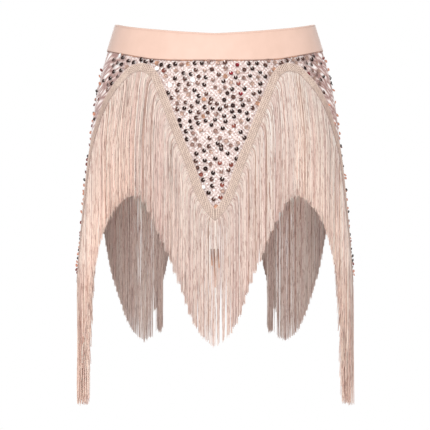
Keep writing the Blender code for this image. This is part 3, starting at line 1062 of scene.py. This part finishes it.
def strand_paths(line, seed, hang):
    """Paths of one flank's strands: (count, steps, 3) points, and how far along each is."""
    own = np.random.default_rng(seed)
    whole = line["length"][-1]
    count = int(whole / hang.step)
    root = (np.arange(count) + own.uniform(0.1, 0.9, count)) * whole / count
    arc, height = on_flank(line, root, ROOT_INSIDE)
    square_arc = np.interp(root, line["length"], line["square"][0])
    leaving = square_arc * ease(np.minimum(root, whole - root) / 0.014)
    length = strand_lengths(line, root, arc, height, hang, own)
    share = np.linspace(0.0, 1.0, STRAND_STEPS) ** 1.4
    along = length[:, None] * share
    turned = TURN_DOWN * (1 - np.exp(-along / TURN_DOWN))
    path_arc = arc[:, None] + leaving[:, None] * turned
    path_height = height[:, None] - along + (1 - np.sqrt(1 - leaving**2))[:, None] * turned
    # Locks form towards the ends
    drift = lock_drift(line, root, arc, seed) * hang.parting
    path_arc += drift[:, None] * ease((share - 0.35) / 0.65)
    # Each strand wavers a little on its own and with its neighbours
    phase = own.uniform(0.0, 9.0, (count, 1))
    together = smooth_noise(along + 0.31 * np.round(arc / 0.004)[:, None], 0.040, seed + 5)
    alone = smooth_noise(along + phase, 0.020, seed + 6)
    path_arc += (0.0003 * together + 0.0003 * alone) * np.minimum(1.0, along / 0.03)
    steep = np.abs(square_arc)
    depth = 0.0004 + own.uniform(0.0, 1.0, count) * (0.0008 + 0.0016 * steep)
    offset = 0.0012 + (depth[:, None] - 0.0012) * np.minimum(1.0, along / 0.012)
    offset += 0.0006 * smooth_noise(along + phase, 0.040, seed + 7) * share
    # Where many strands share little width, they hang as a deep bundle
    low = np.clip((path_height - BUNDLE_START) / (BUNDLE_FULL - BUNDLE_START), 0.0, 1.0)
    inwards = hang.bundle * own.uniform(0.0, 1.0, (count, 1))
    offset += (0.0015 - inwards) * low * (hang.bundle > 0)
    level = np.minimum(FALL_LEVEL, height)[:, None]
    return skin(angle_of(path_arc), path_height, offset, level), along, own


def strand_tints(paths, hang, own):
    """A colour for each point of each strand, toned from its root to its end, with painted shade on the
    outermost strands.
    """
    count = len(paths)
    colour = pick_colours(STRAND_COLOURS, count, own)
    colour = colour * own.uniform(0.94, 1.04, (count, 1))
    root_tone = np.array(hang.root_tone)
    share = np.linspace(0.0, 1.0, STRAND_STEPS)[:, None]
    tone = root_tone + (hang.end_tone - root_tone) * share
    # Painted shade on the outermost strands
    outermost = ease((np.abs(paths[:, OUTER_STEP, :1]) - OUTER_FROM) / OUTER_REACH)
    return np.minimum(colour[:, None] * tone * (1 - outermost[:, None] * PAINTED_OUTER_SHADE), 1.0)


def make_strands(point, seed, hang):
    parts = []
    for i, line in enumerate(flanks_of(point)):
        paths, along, own = strand_paths(line, seed + 10 * i, hang)
        count = len(paths)
        taper = np.interp(np.linspace(0.0, 1.0, STRAND_STEPS), (0.0, 0.9, 1.0), (1.0, 0.95, 0.55))
        radii = STRAND_RADIUS * own.uniform(0.85, 1.15, (count, 1)) * taper
        points, faces = tubes(paths, radii, STRAND_SIDES)
        tint = strand_tints(paths, hang, own)
        place = np.broadcast_to(own.uniform(0.0, 9.0, (count, 1)), along.shape)
        uv = np.stack((place, along), axis=-1)
        uv = np.repeat(uv.reshape(-1, 2), STRAND_SIDES, axis=0)
        tint = np.repeat(tint.reshape(-1, 3), STRAND_SIDES, axis=0)
        parts.append((points, faces, uv, tint))
    points, faces, uv, tint = join_parts(parts)
    name = point.name.replace("fringe", "strands")
    return make_piece(name, points, faces, rayon, [point.name], uv, tint)


# Spacing, length, width of a level group, depth of the lowest bundle, how far locks part,
# and tone at root and end
Hang = namedtuple("Hang", "step drop end_step bundle parting root_tone end_tone")
FRONT_HANG = Hang(0.00066, 0.168, 0.015, 0.0, 1.0, (0.885, 0.920, 0.925), (0.895, 0.870, 0.860))
SIDE_HANG = Hang(0.00066, 0.168, 0.008, 0.015, 0.3, (0.835, 0.855, 0.850), (1.04, 0.995, 0.95))
# At the back, the root tone is painted light and the end tone painted shade
BACK_HANG = Hang(0.00052, 0.210, 0.010, 0.0, 0.1, (1.24, 1.29, 1.32), (0.69, 0.675, 0.670))
HANGING = (FRONT_HANG, SIDE_HANG, BACK_HANG, BACK_HANG, SIDE_HANG)
strands = []
for number, (point, hang) in enumerate(zip(POINTS, HANGING)):
    strands.append(make_strands(point, 100 * (number + 1), hang))

# %% [markdown]
# Below the tip of the front point, where strands part, a few darker copper ones show
# through. Their dark tops are painted shade, as seen through gaps between locks, and they
# turn lighter copper towards their ends.

# %% Copper strands
COPPER_ARCS = (-0.0047, -0.0008, 0.0040)
COPPER_TOP = -0.284
COPPER_ENDS = (-0.306, -0.335, -0.309)
COPPER_SWAY = 0.0012
COPPER_OUT = 0.0040
COPPER_RADIUS = STRAND_RADIUS * 1.7
# Painted shade at the tops, lighter copper towards the ends
COPPER_AND_SHADE_TINTS = ((0.22, 0.085, 0.04), (0.66, 0.33, 0.21))
copper_share = np.linspace(0.0, 1.0, STRAND_STEPS)
copper_heights = COPPER_TOP + (np.array(COPPER_ENDS)[:, None] - COPPER_TOP) * copper_share
copper_arcs = np.array(COPPER_ARCS)[:, None] + COPPER_SWAY * copper_share
copper_paths = skin(angle_of(copper_arcs), copper_heights, COPPER_OUT, POINTS[0].tip_height)
copper_radii = np.full(copper_heights.shape, COPPER_RADIUS)
copper_points, copper_faces = tubes(copper_paths, copper_radii, STRAND_SIDES)
copper_and_shade_tint = np.linspace(COPPER_AND_SHADE_TINTS[0], COPPER_AND_SHADE_TINTS[1], STRAND_STEPS)
copper_and_shade_tint = np.tile(np.repeat(copper_and_shade_tint, STRAND_SIDES, axis=0), (len(COPPER_ARCS), 1))
copper_uv = np.stack((copper_arcs, copper_heights), axis=-1).reshape(-1, 2)
copper_uv = np.repeat(copper_uv, STRAND_SIDES, axis=0)
copper = make_piece(
    "copper_strands", copper_points, copper_faces, rayon, (), copper_uv, copper_and_shade_tint
)

# %% [markdown]
# ## Back trims
#
# The back sequins, braids and strands are gathered in one list.

# %% Back trims
back_trims = [back_sequins, *braids[2:], *strands[2:]]

# %% [markdown]
# ## Stage
#
# The object is shown on white, under large soft lights, as in a catalogue. The floor is a
# plain pale disc where the wearer's feet would be.

# %% Floor
FLOOR_HEIGHT = -1.0
FLOOR_RADIUS = 1.8
floor_material, _, floor_shader = new_material("pale_floor", 0.9)
floor_shader.inputs["Base Color"].default_value = (0.9, 0.9, 0.9, 1.0)
bpy.ops.mesh.primitive_circle_add(
    vertices=96, radius=FLOOR_RADIUS, fill_type="NGON", location=(0.0, 0.0, FLOOR_HEIGHT)
)
floor = bpy.context.object
floor.name = "floor"
floor.data.materials.append(floor_material)

# %% Soft studio light
# Name, place, what it looks at, size and power in watts
LAMPS = (
    ("key", (-0.3, -2.7, 1.0), (0.0, 0.0, -0.2), 1.8, 46.0),
    ("left", (2.4, -1.2, 0.2), (0.0, 0.0, -0.25), 2.0, 8.0),
    ("right", (-2.4, -1.2, 0.2), (0.0, 0.0, -0.25), 2.0, 8.0),
    ("back", (0.0, 2.4, 1.1), (0.0, 0.0, -0.2), 2.0, 20.0),
)


def add_lamp(name, place, target, size, power):
    lamp_data = bpy.data.lights.new(name, "AREA")
    lamp_data.size = size
    lamp_data.energy = power
    lamp = bpy.data.objects.new(name, lamp_data)
    bpy.context.collection.objects.link(lamp)
    lamp.location = place
    away = np.array(place) - np.array(target)
    across = math.hypot(away[0], away[1])
    lamp.rotation_euler = (math.atan2(across, away[2]), 0.0, math.atan2(away[0], -away[1]))


for lamp in LAMPS:
    add_lamp(*lamp)

# %% White surroundings, brighter to the camera than as a lamp
WORLD_LIGHT = 0.80
world = bpy.data.worlds.new("studio")
bpy.context.scene.world = world
world.use_nodes = True
background = world.node_tree.nodes["Background"]
background.inputs["Color"].default_value = (1.0, 1.0, 1.0, 1.0)
to_camera = node(world.node_tree, "LightPath").outputs["Is Camera Ray"]
strength = node(world.node_tree, "MapRange", Value=to_camera, To_Min=WORLD_LIGHT, To_Max=1.0)
wire(world.node_tree, strength.outputs["Result"], background.inputs["Strength"])
bpy.context.scene.view_settings.view_transform = "Standard"
